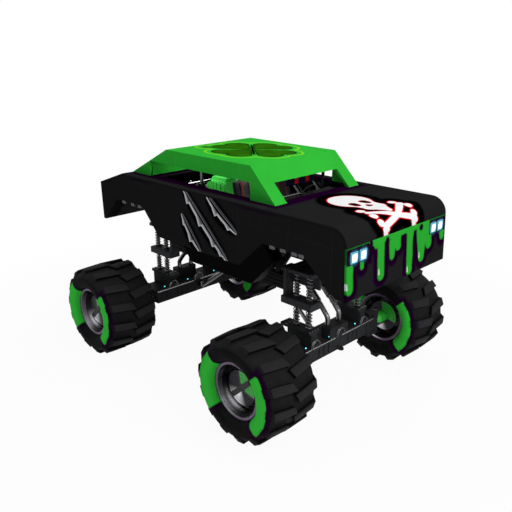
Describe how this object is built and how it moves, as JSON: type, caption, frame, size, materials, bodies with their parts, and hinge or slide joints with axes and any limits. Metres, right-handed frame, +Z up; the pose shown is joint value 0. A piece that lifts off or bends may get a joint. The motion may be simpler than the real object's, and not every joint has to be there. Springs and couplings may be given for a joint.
{
  "type": "monster truck",
  "caption": "Lifted four-wheel-steer show truck with a coupe shell on a rail frame, box axles, coil-over shocks and chevron-lug flotation tyres.",
  "frame": {"origin": "on the ground, under the middle of the body length", "axes": "+X towards the nose, +Y to the left side, +Z up"},
  "size_m": [6.045, 4.662, 3.83],
  "materials": {
    "body_black": "gloss black paint",
    "roof_green": "bright green paint",
    "matte_black": "satin black coating",
    "frame_grey": "dark grey powder coat",
    "axle_grey": "dark grey enamel on plate steel",
    "bright_steel": "polished tube",
    "spring_steel": "grey coil springs and dampers",
    "wheel_metal": "dark polished wheel",
    "tyre_rubber": "black rubber with green sidewall paint",
    "lamp_glass": "frosted lamp lens",
    "engine_green": "green enamel casting",
    "engine_black": "black enamel block",
    "pipe_chrome": "bright pipes",
    "seat_black": "black seat cover",
    "harness_red": "red webbing",
    "dash_navy": "dark blue panel"
  },
  "bodies": {
    "chassis": {"hood": "body_black", "nose_panel": "body_black", "rear_deck": "body_black", "tail_panel": "body_black", "side_right": "body_black", "side_left": "body_black", "roof": "roof_green", "floor_pan": "matte_black", "rockers": "matte_black", "frame_rails": "frame_grey", "shock_towers": "frame_grey", "roll_cage": "frame_grey", "axle_front": "axle_grey", "axle_rear": "axle_grey", "driveline": "axle_grey", "radius_arms_front": "bright_steel", "radius_arms_rear": "bright_steel", "headlamps": "lamp_glass", "supercharger": "engine_green", "engine_block": "engine_black", "exhaust_pipes": "pipe_chrome", "seats": "seat_black", "harness": "harness_red", "dash": "dash_navy", "steering_wheel": "matte_black", "coilovers_front_right": "spring_steel", "coilovers_front_left": "spring_steel", "coilovers_rear_right": "spring_steel", "coilovers_rear_left": "spring_steel"},
    "knuckle_front_right": {"knuckle_front_right": "axle_grey"},
    "wheel_front_right": {"rim_front_right": "wheel_metal", "tyre_front_right": "tyre_rubber"},
    "knuckle_front_left": {"knuckle_front_left": "axle_grey"},
    "wheel_front_left": {"rim_front_left": "wheel_metal", "tyre_front_left": "tyre_rubber"},
    "knuckle_rear_right": {"knuckle_rear_right": "axle_grey"},
    "wheel_rear_right": {"rim_rear_right": "wheel_metal", "tyre_rear_right": "tyre_rubber"},
    "knuckle_rear_left": {"knuckle_rear_left": "axle_grey"},
    "wheel_rear_left": {"rim_rear_left": "wheel_metal", "tyre_rear_left": "tyre_rubber"},
    "tie_rod_front": {"tie_rod_front": "axle_grey"},
    "tie_rod_rear": {"tie_rod_rear": "axle_grey"}
  },
  "joints": [
    {"name": "steer_front_right", "type": "hinge", "parent": "chassis", "child": "knuckle_front_right", "pos_m": [1.8435, -1.2, 0.838], "axis": [0, 0, 1], "range_deg": [-20, 20]},
    {"name": "steer_front_left", "type": "hinge", "parent": "chassis", "child": "knuckle_front_left", "pos_m": [1.8435, 1.2, 0.838], "axis": [0, 0, 1], "range_deg": [-20, 20]},
    {"name": "tie_rod_front_turn", "type": "hinge", "parent": "knuckle_front_right", "child": "tie_rod_front", "pos_m": [1.3435, -1.2, 0.648], "axis": [0, 0, 1], "range_deg": [-20, 20]},
    {"name": "wheel_front_right_spin", "type": "hinge", "parent": "knuckle_front_right", "child": "wheel_front_right", "pos_m": [1.8435, -1.807, 0.838], "axis": [0, 1, 0], "continuous": true},
    {"name": "wheel_front_left_spin", "type": "hinge", "parent": "knuckle_front_left", "child": "wheel_front_left", "pos_m": [1.8435, 1.807, 0.838], "axis": [0, 1, 0], "continuous": true},
    {"name": "steer_rear_right", "type": "hinge", "parent": "chassis", "child": "knuckle_rear_right", "pos_m": [-2.0785, -1.2, 0.838], "axis": [0, 0, 1], "range_deg": [-20, 20]},
    {"name": "steer_rear_left", "type": "hinge", "parent": "chassis", "child": "knuckle_rear_left", "pos_m": [-2.0785, 1.2, 0.838], "axis": [0, 0, 1], "range_deg": [-20, 20]},
    {"name": "tie_rod_rear_turn", "type": "hinge", "parent": "knuckle_rear_right", "child": "tie_rod_rear", "pos_m": [-2.5785, -1.2, 0.648], "axis": [0, 0, 1], "range_deg": [-20, 20]},
    {"name": "wheel_rear_right_spin", "type": "hinge", "parent": "knuckle_rear_right", "child": "wheel_rear_right", "pos_m": [-2.0785, -1.807, 0.838], "axis": [0, 1, 0], "continuous": true},
    {"name": "wheel_rear_left_spin", "type": "hinge", "parent": "knuckle_rear_left", "child": "wheel_rear_left", "pos_m": [-2.0785, 1.807, 0.838], "axis": [0, 1, 0], "continuous": true}
  ],
  "couplings": [
    {"joint": "steer_front_left", "follows": "steer_front_right", "ratio": 1},
    {"joint": "tie_rod_front_turn", "follows": "steer_front_right", "ratio": -1},
    {"joint": "steer_rear_left", "follows": "steer_rear_right", "ratio": 1},
    {"joint": "tie_rod_rear_turn", "follows": "steer_rear_right", "ratio": -1}
  ]
}
